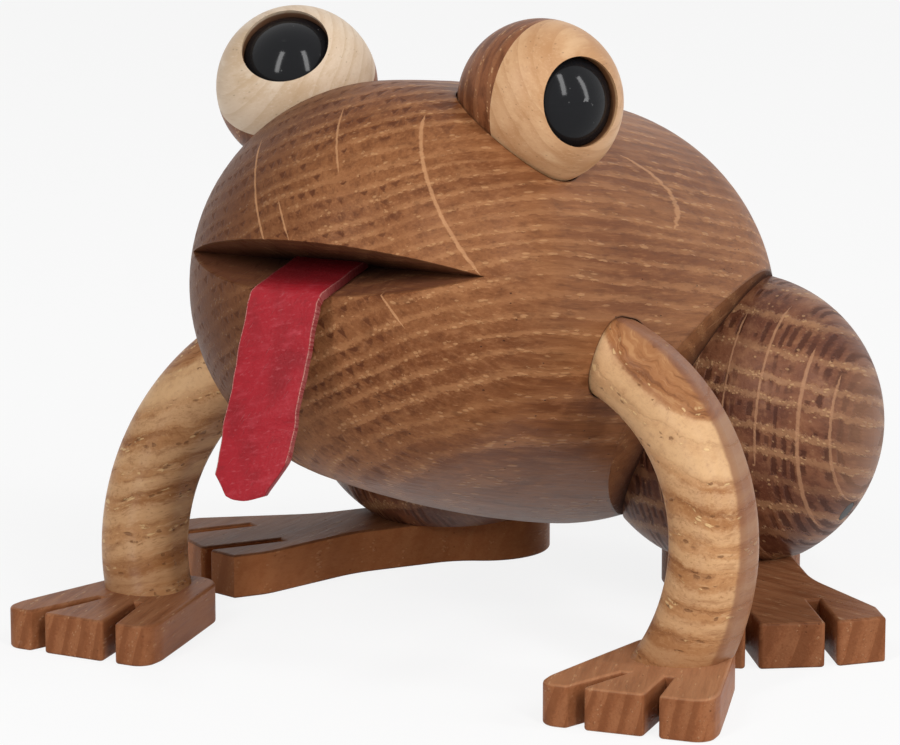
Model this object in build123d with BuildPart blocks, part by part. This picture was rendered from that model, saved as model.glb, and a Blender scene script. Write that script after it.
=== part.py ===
from build123d import *
import os
from math import atan2, cos, degrees, radians, sin, sqrt

# A turned and glued wooden frog. It faces -Y, its left side is +X, and it sits on Z = 0.
# The origin is on the ground under the middle of the figure. Lengths are in millimetres.

# Fits
glue_line = 0.08
turning_gap = 0.2
running_fit = 0.05
bore_spare_depth = 0.4
overrun = 60.0

# Body, an egg turned in one piece: two end caps joined to the girth by long flank arcs
girth_radius = 31.7
nose_reach = 82.2
nose_radius = 28.1
tail_reach = 39.7
tail_radius = 19.7
body_tilt_angle = 13.15
girth_height = 41.9
girth_setback = 26.35

# Mouth, a wedge sawn straight across the nose, with a kerf at its root that grips the tongue
mouth_depth = 11.0
mouth_root_rise = 1.45
upper_jaw_angle = 24.5
lower_jaw_angle = 12.0
tongue_kerf_depth = 4.0
tongue_kerf_reach = 2.4

# Tongue, a strip of leather that bends over the lower lip
tongue_width = 10.4
tongue_thickness = 1.2
tongue_hang = 26.0
tongue_lean_angle = 17.0
tongue_side_drift = 1.5
tongue_bend = 1.6
tongue_past_lip = 0.9
tongue_tip_corner = 4.6

# Eyes, balls that turn on a peg in the head
eye_diameter = 22.7
eye_station = 53.1
eye_spread_angle = 35.55
eye_stand = 4.15
eye_seam_offset = 0.6
eye_peg_diameter = 4.0
eye_peg_in_eye = 6.6
eye_peg_in_head = 9.0

# Pupils, domed buttons with a stem, a little below the rim of their recess
pupil_diameter = 12.0
pupil_recess = 2.2
pupil_rim = 0.7
pupil_crown = 2.5
pupil_stem_diameter = 3.4
pupil_stem_length = 3.6
pupil_fit = 0.1

# Where each eye looks, and where its glued seam faces: heading from +X towards +Y, then rise
left_gaze_angles = (-29.3, 6.0)
left_seam_angles = (-13.6, -3.7)
right_gaze_angles = (-74.1, 42.5)
right_seam_angles = (-83.2, 55.0)

# Arms, part hoops of one rounded section, glued on at a different lean on each side
arm_radius = 29.3
arm_width = 11.2
arm_depth = 13.7
arm_edge_radius = 5.4
arm_end_angle = 76.0
arm_pocket_start_angle = 30.0
arm_pocket_gap = 0.2
arm_spread = 42.9
left_arm_forward = 23.0
right_arm_forward = 22.1
left_arm_rise = 12.6
right_arm_rise = 11.0
left_arm_lean_angle = 12.4
right_arm_lean_angle = 19.4
shoulder_dowel_diameter = 5.0
shoulder_dowel_in_arm = 8.0
shoulder_dowel_in_body = 8.0
wrist_dowel_diameter = 4.0
wrist_dowel_in_arm = 4.5
wrist_dowel_in_foot = 4.0

# Front feet, sawn plates with three toes, measured from the end of the heel
front_foot_thickness = 5.9
left_front_splay_angle = 5.3
right_front_splay_angle = 1.8
left_front_heel_spread = 40.55
right_front_heel_spread = 41.15
front_heel_forward = 14.8
front_toe_reach = 29.0
front_toe_start = 24.6
front_instep_reach = 14.5
front_toe_width = 24.1
front_instep_width = 19.6
front_heel_width = 12.9
front_side_fillet = 8.0
front_toe_corner = 2.6
front_heel_corner = 4.5
left_front_slot_length = 9.8
left_front_inner_slot = 6.9
left_front_outer_slot = 3.9
right_front_slot_length = 11.8
right_front_inner_slot = 5.9
right_front_outer_slot = 6.4
front_slot_root = 3.1
front_slot_root_width = 1.2
front_slot_tip_width = 2.1
front_slot_corner = 0.7

# Rear feet, longer sawn paddles with three toes, measured from the centre of the round heel
rear_foot_thickness = 6.6
left_rear_splay_angle = 34.0
right_rear_splay_angle = 35.4
rear_heel_radius = 10.5
left_heel_setback = 3.1
right_heel_setback = 6.6
left_heel_offset = 0.2
right_heel_offset = 0.6
rear_waist_reach = 25.8
rear_waist_width = 14.2
rear_ball_flare = 17.4
rear_toe_run = 7.7
rear_toe_width = 25.6
rear_toe_slope = 2.0
rear_waist_fillet = 22.0
rear_heel_fillet = 12.0
rear_ball_fillet = 10.0
rear_toe_corner = 1.8
rear_slot_inner = 6.5
rear_slot_outer = 4.7
rear_slot_length = 13.0
rear_slot_width = 1.8
rear_slot_corner = 0.6
foot_edge_radius = 0.5
foot_sole_radius = 0.4

# Thighs, balls with one flat against the body and one on the foot
thigh_radius = 22.3
thigh_spread = 24.3
thigh_setback = 37.25
thigh_foot_flat_radius = 11.6
thigh_seat_depth = 6.3
thigh_seat_heading_angle = 6.7
thigh_seat_fall_angle = 27.6
thigh_peg_heading_angle = -5.0
thigh_peg_fall_angle = 32.0
thigh_peg_diameter = 2.6
thigh_peg_in_body = 10.0
thigh_plug_diameter = 3.2
thigh_plug_depth = 2.4
ankle_dowel_diameter = 6.0
ankle_dowel_in_thigh = 9.0
ankle_dowel_in_foot = 4.4


def heading_vector(heading, rise):
    """Unit vector from a heading, measured from +X towards +Y, and a rise above level."""
    level = cos(radians(rise))
    return Vector(cos(radians(heading)) * level, sin(radians(heading)) * level, sin(radians(rise)))


# The body's own frame: X runs along its axis to the nose and Y towards the frog's back
girth_centre = Vector(0, girth_setback, girth_height)
nose_direction = Vector(0, -cos(radians(body_tilt_angle)), sin(radians(body_tilt_angle)))
back_direction = Vector(0, sin(radians(body_tilt_angle)), cos(radians(body_tilt_angle)))
body_plane = Plane(origin=girth_centre, x_dir=nose_direction, z_dir=(-1, 0, 0))


def flank_radius(reach, cap_radius):
    """Radius of the arc that is level at the girth and tangent to the end cap."""
    along = reach - cap_radius
    return (along**2 + girth_radius**2 - cap_radius**2) / (2 * (girth_radius - cap_radius))


def cap_tangent_point(reach, cap_radius):
    """Where the end cap meets its flank arc, as distance along the axis and away from it."""
    along = reach - cap_radius
    flank = flank_radius(reach, cap_radius)
    toward = Vector(along, flank - girth_radius).normalized()
    return Vector(along, 0) + toward * cap_radius


def skin_radius(station):
    """The body's radius at a station ahead of the girth, on the nose flank."""
    flank = flank_radius(nose_reach, nose_radius)
    return girth_radius - flank + sqrt(flank**2 - station**2)


# Eyes: side is 1 on the frog's left and -1 on its right
eye_radius = eye_diameter / 2
eye_from_axis = skin_radius(eye_station) + eye_stand


def eye_direction(side):
    """From the body's axis out through the eye, which is also the line of its peg."""
    return Vector(side * sin(radians(eye_spread_angle)), 0, 0) + back_direction * cos(radians(eye_spread_angle))


def eye_centre(side):
    return girth_centre + nose_direction * eye_station + eye_direction(side) * eye_from_axis


# Arms: each hoop lies in a plane that holds X and leans back from upright
pocket_end_angle = arm_end_angle + degrees(glue_line / arm_radius)
pocket_width = arm_width + 2 * arm_pocket_gap
pocket_depth = arm_depth + 2 * arm_pocket_gap
left_arm_stand = Vector(arm_spread, -left_arm_forward, front_foot_thickness)
right_arm_stand = Vector(arm_spread, -right_arm_forward, front_foot_thickness)


def hoop_plane(stand, rise, lean):
    """Plane of a left arm's hoop, about its centre: X outward and Y up along its lean."""
    up = Vector(0, sin(radians(lean)), cos(radians(lean)))
    centre = stand - Vector(sqrt(arm_radius**2 - rise**2), 0, 0) + up * rise
    return Plane(origin=centre, x_dir=(1, 0, 0), z_dir=Vector(1, 0, 0).cross(up))


def hoop_section(hoop, angle):
    """Plane square across a hoop, with its origin on the hoop's centre line."""
    outward = hoop.x_dir * cos(radians(angle)) + hoop.y_dir * sin(radians(angle))
    along = hoop.y_dir * cos(radians(angle)) - hoop.x_dir * sin(radians(angle))
    return Plane(origin=hoop.origin + outward * arm_radius, x_dir=outward, z_dir=along)


left_hoop = hoop_plane(left_arm_stand, left_arm_rise, left_arm_lean_angle)
right_hoop = hoop_plane(right_arm_stand, right_arm_rise, right_arm_lean_angle)

# Thighs: balls that stand on the rear feet, with inner flats on flats cut on the body
thigh_rise = sqrt(thigh_radius**2 - thigh_foot_flat_radius**2)
thigh_centre = Vector(thigh_spread, thigh_setback, rear_foot_thickness + thigh_rise)
seat_direction = heading_vector(thigh_seat_heading_angle, -thigh_seat_fall_angle)
seat_plane = Plane(origin=thigh_centre - seat_direction * thigh_seat_depth, z_dir=seat_direction)
peg_direction = heading_vector(thigh_peg_heading_angle, -thigh_peg_fall_angle)
plug_floor = thigh_centre + peg_direction * (thigh_radius - thigh_plug_depth)
thigh_peg_length = thigh_radius - thigh_plug_depth + thigh_seat_depth + thigh_peg_in_body
ankle = Vector(thigh_centre.X, thigh_centre.Y, rear_foot_thickness)

# Feet: each plate's own X runs forward to the toes and its Y away from the frog
rear_ball_reach = rear_waist_reach + rear_ball_flare
rear_toe_reach = rear_ball_reach + rear_toe_run


def foot_plane(spot, splay, setback, offset):
    """Ground plane of a left foot, with its origin set back and outward from a spot."""
    outer_way = heading_vector(splay, 0)
    toe_way = outer_way.cross(Vector(0, 0, 1))
    start = Vector(spot.X, spot.Y, 0) - toe_way * setback + outer_way * offset
    return Plane(origin=start, x_dir=toe_way, z_dir=(0, 0, 1))


# Mouth, in the plane that halves the frog: X runs forward along the ground and Y up
side_plane = Plane(origin=(0, 0, 0), x_dir=(0, -1, 0), z_dir=(-1, 0, 0))
root_place = body_plane.from_local_coords(Vector(nose_reach - mouth_depth, mouth_root_rise, 0))
mouth_root = Vector(-root_place.Y, root_place.Z)
jaw_way = Vector(cos(radians(lower_jaw_angle)), -sin(radians(lower_jaw_angle)))
jaw_normal = Vector(sin(radians(lower_jaw_angle)), cos(radians(lower_jaw_angle)))
roof_way = Vector(cos(radians(upper_jaw_angle)), sin(radians(upper_jaw_angle)))


def lower_lip_run():
    """Length of the lower jaw on the middle plane, from the mouth's root to the nose cap."""
    fall = radians(lower_jaw_angle + body_tilt_angle)
    root = Vector(nose_radius - mouth_depth, mouth_root_rise)
    along = root.dot(Vector(cos(fall), -sin(fall)))
    return sqrt(along**2 - root.dot(root) + nose_radius**2) - along


# Tongue, in the same plane: it lies on the lower jaw, bends past the lip and hangs forward
hang_way = Vector(sin(radians(tongue_lean_angle)), -cos(radians(tongue_lean_angle)))
hang_normal = Vector(cos(radians(tongue_lean_angle)), sin(radians(tongue_lean_angle)))
bend_middle_angle = radians((90 - lower_jaw_angle + tongue_lean_angle) / 2)
bend_middle_way = Vector(cos(bend_middle_angle), sin(bend_middle_angle))
tongue_bed = mouth_root + jaw_normal * glue_line
tongue_end = tongue_bed - jaw_way * (tongue_kerf_depth - bore_spare_depth)
bend_start = tongue_bed + jaw_way * (lower_lip_run() + tongue_past_lip)
bend_centre = bend_start - jaw_normal * tongue_bend
bend_outer = tongue_bend + tongue_thickness
hang_start = bend_centre + hang_normal * tongue_bend


def bore(start, direction, diameter, depth):
    """Round hole cut into the piece being made."""
    with BuildSketch(Plane(origin=start, z_dir=direction)) as hole:
        Circle(diameter / 2)
    extrude(hole.sketch, amount=depth, mode=Mode.SUBTRACT)


def dowel(start, direction, diameter, length):
    """Plain round peg from a start point."""
    with BuildPart() as peg:
        with BuildSketch(Plane(origin=start, z_dir=direction)):
            Circle(diameter / 2)
        extrude(amount=length)
    return peg


def write_piece(piece, name):
    """Label a finished piece and write its file."""
    piece.part.label = name
    export_step(piece.part, f"parts/{name}.step")


def write_mirrored(piece, name):
    """Write the mirror image of a piece that was made for the frog's left side."""
    with BuildPart() as twin:
        mirror(piece.part, about=Plane.YZ)
    write_piece(twin, name)


def write_pair(piece, name):
    """Write a piece of the left side and its mirror image for the right."""
    write_piece(piece, f"left_{name}")
    write_mirrored(piece, f"right_{name}")


os.makedirs("parts", exist_ok=True)


# What is cut from the body for its limbs
def make_limb_cuts(hoop):
    """Left arm's pocket and the bores for its dowel and for the thigh's peg."""
    with BuildPart() as cuts:
        with BuildSketch(hoop_section(hoop, arm_pocket_start_angle)):
            RectangleRounded(pocket_width, pocket_depth, arm_edge_radius + arm_pocket_gap)
        pocket_sweep_angle = pocket_end_angle - arm_pocket_start_angle
        revolve(axis=Axis(hoop.origin, hoop.z_dir), revolution_arc=pocket_sweep_angle)
        with BuildSketch(hoop_section(hoop, arm_end_angle)):
            Circle(shoulder_dowel_diameter / 2 + glue_line)
        extrude(amount=shoulder_dowel_in_body + bore_spare_depth)
        with BuildSketch(Plane(origin=thigh_centre, z_dir=-peg_direction)):
            Circle(thigh_peg_diameter / 2 + glue_line)
        extrude(amount=thigh_seat_depth + thigh_peg_in_body + bore_spare_depth)
    return cuts


left_limb_cuts = make_limb_cuts(left_hoop)
right_limb_cuts = make_limb_cuts(right_hoop)

# Body
with BuildPart() as body:
    nose_joint = cap_tangent_point(nose_reach, nose_radius)
    tail_joint = cap_tangent_point(tail_reach, tail_radius)
    with BuildSketch(body_plane):
        with BuildLine():
            TangentArc((nose_reach, 0), (nose_joint.X, nose_joint.Y), tangent=(0, 1))
            TangentArc((0, girth_radius), (nose_joint.X, nose_joint.Y), tangent=(1, 0))
            TangentArc((0, girth_radius), (-tail_joint.X, tail_joint.Y), tangent=(-1, 0))
            TangentArc((-tail_reach, 0), (-tail_joint.X, tail_joint.Y), tangent=(0, 1))
            Line((-tail_reach, 0), (nose_reach, 0))
        make_face()
    revolve(axis=Axis(girth_centre, nose_direction))
    split(bisect_by=seat_plane, keep=Keep.BOTTOM)
    mirror(about=Plane.YZ, mode=Mode.INTERSECT)
    with BuildSketch(side_plane):
        with BuildLine():
            Polyline(
                mouth_root,
                mouth_root + roof_way * nose_reach,
                mouth_root + jaw_way * nose_reach,
                close=True,
            )
        make_face()
    extrude(amount=overrun, both=True, mode=Mode.SUBTRACT)
    with BuildSketch(side_plane):
        with BuildLine():
            kerf_roof = jaw_normal * (tongue_thickness + 2 * glue_line)
            Polyline(
                mouth_root - jaw_way * tongue_kerf_depth,
                mouth_root + jaw_way * tongue_kerf_reach,
                mouth_root + jaw_way * tongue_kerf_reach + kerf_roof,
                mouth_root - jaw_way * tongue_kerf_depth + kerf_roof,
                close=True,
            )
        make_face()
    extrude(amount=tongue_width / 2 + glue_line, both=True, mode=Mode.SUBTRACT)
    for side in (1, -1):
        with Locations(eye_centre(side)):
            Sphere(eye_radius + turning_gap, mode=Mode.SUBTRACT)
        seat_floor = eye_centre(side) - eye_direction(side) * eye_radius
        peg_hole_depth = turning_gap + eye_peg_in_head + bore_spare_depth
        bore(seat_floor, -eye_direction(side), eye_peg_diameter + 2 * glue_line, peg_hole_depth)
    add(left_limb_cuts.part, mode=Mode.SUBTRACT)
    mirror(right_limb_cuts.part, about=Plane.YZ, mode=Mode.SUBTRACT)
write_piece(body, "body")

# Tongue: its bent profile, trimmed to the strip's outline seen square to the hanging part
with BuildPart() as tongue:
    with BuildSketch(side_plane):
        with BuildLine():
            hang_end = hang_start + hang_way * tongue_hang
            Line(tongue_end, bend_start)
            ThreePointArc(bend_start, bend_centre + bend_middle_way * tongue_bend, hang_start)
            Line(hang_start, hang_end)
            Line(hang_end, hang_end + hang_normal * tongue_thickness)
            Line(hang_end + hang_normal * tongue_thickness, bend_centre + hang_normal * bend_outer)
            ThreePointArc(
                bend_centre + hang_normal * bend_outer,
                bend_centre + bend_middle_way * bend_outer,
                bend_centre + jaw_normal * bend_outer,
            )
            Line(bend_centre + jaw_normal * bend_outer, tongue_end + jaw_normal * tongue_thickness)
            Line(tongue_end + jaw_normal * tongue_thickness, tongue_end)
        make_face()
    extrude(amount=tongue_width, both=True)
    tip = side_plane.from_local_coords(hang_end)
    face_way = side_plane.from_local_coords(hang_normal)
    with BuildSketch(Plane(origin=tip, x_dir=(1, 0, 0), z_dir=face_way)) as outline:
        with BuildLine():
            half = tongue_width / 2
            Polyline(
                (-half - tongue_side_drift, 0),
                (half - tongue_side_drift, 0),
                (half, tongue_hang),
                (half, tongue_hang + overrun),
                (-half, tongue_hang + overrun),
                (-half, tongue_hang),
                close=True,
            )
        make_face()
        fillet(outline.vertices().group_by(Axis.Y)[0], tongue_tip_corner)
    extrude(amount=overrun, both=True, mode=Mode.INTERSECT)
write_piece(tongue, "tongue")


# Eyes: a pale front and a dark back glued on a slanted seam, a pupil and the peg in the head
def make_eye(name, side, gaze, seam):
    centre = eye_centre(side)
    look = heading_vector(*gaze)
    seam_way = heading_vector(*seam)
    seam_plane = Plane(origin=centre + seam_way * eye_seam_offset, z_dir=seam_way)
    peg_way = -eye_direction(side)
    recess_radius = pupil_diameter / 2 + pupil_fit
    floor = centre + look * (sqrt(eye_radius**2 - recess_radius**2) - pupil_recess)
    peg_bore = (centre + peg_way * eye_radius, -peg_way)
    peg_bore_diameter = eye_peg_diameter + 2 * running_fit
    peg_bore_depth = eye_peg_in_eye + bore_spare_depth

    with BuildPart() as eye_front:
        with Locations(centre):
            Sphere(eye_radius)
        split(bisect_by=seam_plane, keep=Keep.TOP)
        bore(floor, look, 2 * recess_radius, eye_radius)
        bore(floor, -look, pupil_stem_diameter + 2 * pupil_fit, pupil_stem_length + bore_spare_depth)
        bore(*peg_bore, peg_bore_diameter, peg_bore_depth)
    write_piece(eye_front, f"{name}_eye_front")

    with BuildPart() as eye_back:
        with Locations(centre):
            Sphere(eye_radius)
        split(bisect_by=seam_plane, keep=Keep.BOTTOM)
        bore(*peg_bore, peg_bore_diameter, peg_bore_depth)
    write_piece(eye_back, f"{name}_eye_back")

    across = look.cross(Vector(0, 0, 1)).normalized()
    with BuildPart() as pupil:
        with BuildSketch(Plane(origin=floor, x_dir=across, z_dir=across.cross(look))):
            with BuildLine():
                crown = pupil_rim + pupil_crown
                stem_radius = pupil_stem_diameter / 2
                button_radius = pupil_diameter / 2
                Polyline(
                    (0, crown),
                    (0, -pupil_stem_length),
                    (stem_radius, -pupil_stem_length),
                    (stem_radius, 0),
                    (button_radius, 0),
                    (button_radius, pupil_rim),
                )
                TangentArc((0, crown), (button_radius, pupil_rim), tangent=(1, 0))
            make_face()
        revolve(axis=Axis(floor, look))
    write_piece(pupil, f"{name}_pupil")

    peg_start = centre + peg_way * (eye_radius - eye_peg_in_eye)
    peg_length = eye_peg_in_eye + turning_gap + eye_peg_in_head
    write_piece(dowel(peg_start, peg_way, eye_peg_diameter, peg_length), f"{name}_eye_peg")


make_eye("left", 1, left_gaze_angles, left_seam_angles)
make_eye("right", -1, right_gaze_angles, right_seam_angles)


# Arms, cut flat on top of the front feet, and the dowels in their ends
def make_arm(hoop, stand, rise):
    """Left arm of a given hoop."""
    start_angle = -degrees(atan2(rise + arm_depth, arm_radius - arm_width))
    shoulder = hoop_section(hoop, arm_end_angle)
    with BuildPart() as arm:
        with BuildSketch(hoop_section(hoop, start_angle)):
            RectangleRounded(arm_width, arm_depth, arm_edge_radius)
        revolve(axis=Axis(hoop.origin, hoop.z_dir), revolution_arc=arm_end_angle - start_angle)
        split(bisect_by=Plane.XY.offset(front_foot_thickness), keep=Keep.TOP)
        shoulder_bore_depth = shoulder_dowel_in_arm + bore_spare_depth
        bore(shoulder.origin, -shoulder.z_dir, shoulder_dowel_diameter + 2 * glue_line, shoulder_bore_depth)
        wrist_bore_depth = wrist_dowel_in_arm + bore_spare_depth
        bore(stand, Vector(0, 0, 1), wrist_dowel_diameter + 2 * glue_line, wrist_bore_depth)
    return arm


def make_shoulder_dowel(hoop):
    shoulder = hoop_section(hoop, arm_end_angle)
    dowel_start = shoulder.origin - shoulder.z_dir * shoulder_dowel_in_arm
    dowel_length = shoulder_dowel_in_arm + shoulder_dowel_in_body
    return dowel(dowel_start, shoulder.z_dir, shoulder_dowel_diameter, dowel_length)


def make_wrist_dowel(stand):
    dowel_start = stand - Vector(0, 0, wrist_dowel_in_foot)
    dowel_length = wrist_dowel_in_foot + wrist_dowel_in_arm
    return dowel(dowel_start, Vector(0, 0, 1), wrist_dowel_diameter, dowel_length)


write_piece(make_arm(left_hoop, left_arm_stand, left_arm_rise), "left_arm")
write_piece(make_shoulder_dowel(left_hoop), "left_shoulder_dowel")
write_piece(make_wrist_dowel(left_arm_stand), "left_wrist_dowel")

write_mirrored(make_arm(right_hoop, right_arm_stand, right_arm_rise), "right_arm")
write_mirrored(make_shoulder_dowel(right_hoop), "right_shoulder_dowel")
write_mirrored(make_wrist_dowel(right_arm_stand), "right_wrist_dowel")


# Front feet: left and right differ in their splay and in where their toes are sawn apart
def make_front_foot(stand, splay, heel_spread, slot_length, inner_slot, outer_slot):
    """Left front foot, sawn from a plate and slotted for three toes."""
    heel_end = Vector(heel_spread, -front_heel_forward, 0)
    slot_start = front_toe_reach - slot_length
    with BuildPart() as foot:
        with BuildSketch(foot_plane(heel_end, splay, 0, 0)) as sole:
            with BuildLine():
                Polyline(
                    (0, 0),
                    (0, front_heel_width / 2),
                    (front_instep_reach, front_instep_width / 2),
                    (front_toe_start, front_toe_width / 2),
                    (front_toe_reach, front_toe_width / 2),
                    (front_toe_reach, 0),
                )
                mirror(about=Plane.XZ)
            make_face()
            sides = sole.vertices().filter_by_position(Axis.X, front_instep_reach, front_toe_start)
            fillet(sides, front_side_fillet)
            fillet(sole.vertices().group_by(Axis.X)[0], front_heel_corner)
            fillet(sole.vertices().group_by(Axis.X)[-1], front_toe_corner)
            for root, tip in ((-front_slot_root, -inner_slot), (front_slot_root, outer_slot)):
                with BuildLine():
                    far = 2 * tip - root
                    far_half = front_slot_tip_width - front_slot_root_width / 2
                    Polyline(
                        (slot_start, root - front_slot_root_width / 2),
                        (slot_start, root + front_slot_root_width / 2),
                        (slot_start + 2 * slot_length, far + far_half),
                        (slot_start + 2 * slot_length, far - far_half),
                        close=True,
                    )
                make_face(mode=Mode.SUBTRACT)
            inner_band = inner_slot + front_slot_tip_width
            outer_band = outer_slot + front_slot_tip_width
            slot_mouths = sole.vertices().filter_by_position(Axis.Y, -inner_band, outer_band)
            fillet(slot_mouths.group_by(Axis.X)[-1], front_slot_corner)
        extrude(amount=front_foot_thickness)
        fillet(foot.faces().sort_by(Axis.Z)[-1].edges(), foot_edge_radius)
        fillet(foot.faces().sort_by(Axis.Z)[0].edges(), foot_sole_radius)
        wrist_hole_depth = wrist_dowel_in_foot + bore_spare_depth
        bore(stand, Vector(0, 0, -1), wrist_dowel_diameter + 2 * glue_line, wrist_hole_depth)
    return foot


left_front_foot = make_front_foot(
    left_arm_stand,
    left_front_splay_angle,
    left_front_heel_spread,
    left_front_slot_length,
    left_front_inner_slot,
    left_front_outer_slot,
)
write_piece(left_front_foot, "left_front_foot")

right_front_foot = make_front_foot(
    right_arm_stand,
    right_front_splay_angle,
    right_front_heel_spread,
    right_front_slot_length,
    right_front_inner_slot,
    right_front_outer_slot,
)
write_mirrored(right_front_foot, "right_front_foot")


# Rear feet: one pattern, glued on at a slightly different place and angle on each side
def make_rear_foot(splay, heel_setback, heel_offset):
    """Left rear foot, a paddle sawn from a plate and slotted for three toes."""
    with BuildPart() as foot:
        with BuildSketch(foot_plane(ankle, splay, heel_setback, heel_offset)) as sole:
            Circle(rear_heel_radius)
            with BuildLine():
                toe_half = rear_toe_width / 2
                waist_half = rear_waist_width / 2
                Polyline(
                    (0, -waist_half),
                    (rear_waist_reach, -waist_half),
                    (rear_ball_reach, -toe_half),
                    (rear_toe_reach - rear_toe_slope, -toe_half),
                    (rear_toe_reach, -rear_slot_inner),
                    (rear_toe_reach, rear_slot_outer),
                    (rear_toe_reach - rear_toe_slope, toe_half),
                    (rear_ball_reach, toe_half),
                    (rear_waist_reach, waist_half),
                    (0, waist_half),
                    close=True,
                )
            make_face()
            corners = sole.vertices()
            fillet(corners.filter_by_position(Axis.X, 0, rear_heel_radius), rear_heel_fillet)
            waist_end = sole.vertices().filter_by_position(Axis.X, rear_heel_radius * 2, rear_waist_reach)
            fillet(waist_end.group_by(Axis.X)[-1], rear_waist_fillet)
            ball = sole.vertices().filter_by_position(Axis.Y, toe_half, toe_half)
            ball_end = ball + sole.vertices().filter_by_position(Axis.Y, -toe_half, -toe_half)
            fillet(ball_end.group_by(Axis.X)[0], rear_ball_fillet)
            fillet(ball_end.group_by(Axis.X)[-1], rear_toe_corner)
            for offset in (-rear_slot_inner, rear_slot_outer):
                with Locations((rear_toe_reach, offset)):
                    Rectangle(2 * rear_slot_length, rear_slot_width, mode=Mode.SUBTRACT)
            slot_mouths = sole.vertices().filter_by_position(
                Axis.X, rear_toe_reach - rear_toe_slope / 2, rear_toe_reach
            )
            fillet(slot_mouths, rear_slot_corner)
        extrude(amount=rear_foot_thickness)
        fillet(foot.faces().sort_by(Axis.Z)[-1].edges(), foot_edge_radius)
        fillet(foot.faces().sort_by(Axis.Z)[0].edges(), foot_sole_radius)
        ankle_hole_depth = ankle_dowel_in_foot + bore_spare_depth
        bore(ankle, Vector(0, 0, -1), ankle_dowel_diameter + 2 * glue_line, ankle_hole_depth)
    return foot


left_rear_foot = make_rear_foot(left_rear_splay_angle, left_heel_setback, left_heel_offset)
write_piece(left_rear_foot, "left_rear_foot")

right_rear_foot = make_rear_foot(right_rear_splay_angle, right_heel_setback, right_heel_offset)
write_mirrored(right_rear_foot, "right_rear_foot")

# Thighs
with BuildPart() as thigh:
    with Locations(thigh_centre):
        Sphere(thigh_radius)
    split(bisect_by=Plane.XY.offset(rear_foot_thickness), keep=Keep.TOP)
    split(bisect_by=seat_plane, keep=Keep.TOP)
    bore(ankle, Vector(0, 0, 1), ankle_dowel_diameter + 2 * glue_line, ankle_dowel_in_thigh + bore_spare_depth)
    bore(plug_floor, -peg_direction, thigh_peg_diameter + 2 * glue_line, thigh_peg_length)
    bore(plug_floor, peg_direction, thigh_plug_diameter + 2 * glue_line, thigh_radius)
write_pair(thigh, "thigh")

with BuildPart() as thigh_plug:
    with BuildSketch(Plane(origin=plug_floor, z_dir=peg_direction)):
        Circle(thigh_plug_diameter / 2)
    extrude(amount=thigh_radius)
    with Locations(thigh_centre):
        Sphere(thigh_radius, mode=Mode.INTERSECT)
write_pair(thigh_plug, "thigh_plug")

write_pair(dowel(plug_floor, -peg_direction, thigh_peg_diameter, thigh_peg_length), "thigh_peg")

ankle_dowel = dowel(
    ankle - Vector(0, 0, ankle_dowel_in_foot),
    Vector(0, 0, 1),
    ankle_dowel_diameter,
    ankle_dowel_in_foot + ankle_dowel_in_thigh,
)
write_pair(ankle_dowel, "ankle_dowel")
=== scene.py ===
from math import cos, pi, radians, sin, tan

import bpy
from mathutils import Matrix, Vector


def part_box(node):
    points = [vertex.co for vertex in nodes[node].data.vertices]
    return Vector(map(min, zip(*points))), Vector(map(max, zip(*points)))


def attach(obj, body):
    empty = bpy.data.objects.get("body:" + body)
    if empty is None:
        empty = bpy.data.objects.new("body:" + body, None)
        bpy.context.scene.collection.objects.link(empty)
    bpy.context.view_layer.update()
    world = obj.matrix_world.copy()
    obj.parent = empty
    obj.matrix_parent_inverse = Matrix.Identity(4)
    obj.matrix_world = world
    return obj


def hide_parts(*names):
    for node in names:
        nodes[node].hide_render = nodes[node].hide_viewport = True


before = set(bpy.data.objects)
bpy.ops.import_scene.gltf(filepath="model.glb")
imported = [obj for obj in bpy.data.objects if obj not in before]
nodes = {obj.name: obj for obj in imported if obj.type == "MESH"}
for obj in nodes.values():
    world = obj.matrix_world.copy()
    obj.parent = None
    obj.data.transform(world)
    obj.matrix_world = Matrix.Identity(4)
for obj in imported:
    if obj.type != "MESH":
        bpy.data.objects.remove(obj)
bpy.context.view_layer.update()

# One millimetre in the scene's metres, and how many of them a metre holds
MM = 0.001
PER_METRE = 1000.0

# Viewpoint of the photograph: degrees round the frog and up, metres away, and the place looked at
VIEW_AZIMUTH = 27.2
VIEW_ELEVATION = 11.1
VIEW_DISTANCE = 0.558
VIEW_TARGET = Vector((0.005, -0.01905, 0.041))

# Focal length and sensor width, in millimetres
LENS = 160.0
SENSOR = 36.0

# Floor and lights: metres across, how white the floor and how bright the surroundings are, and each softbox's
# name, azimuth, elevation, angles of view across and up, and radiance
FLOOR_SIZE = 12.0
FLOOR_DROP = 0.02 * MM
FLOOR_WHITE = 0.86
AMBIENT = 0.26
SOFTBOX_DISTANCE = 1.6
SOFTBOX_AIM = Vector((0, 0, 0.05))
SOFTBOXES = (
    ("left_strip", -6, 35, 8, 38, 14.0),
    ("middle_strip", 55, 38, 8, 38, 14.0),
    ("right_strip", 100, 24, 8, 36, 12.0),
)

# How the body lies: its turning axis rises to the nose, and its back is square to that axis
BODY_TILT = 13.15
BACK_WAY = Vector((0, sin(radians(BODY_TILT)), cos(radians(BODY_TILT))))
UP = Vector((0, 0, 1))
SIDES = {"left": 1, "right": -1}

# Shapes that the wood's shading follows, in millimetres: the ball at the nose, the eyes, arms and thighs
NOSE_CAP = Vector((0, -26.33, 54.21))
NOSE_CAP_RADIUS = 28.1
EYE_RADIUS = 11.35
EYES = {side: Vector((18.958 * sign, -19.322, 79.814)) for side, sign in SIDES.items()}

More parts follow.
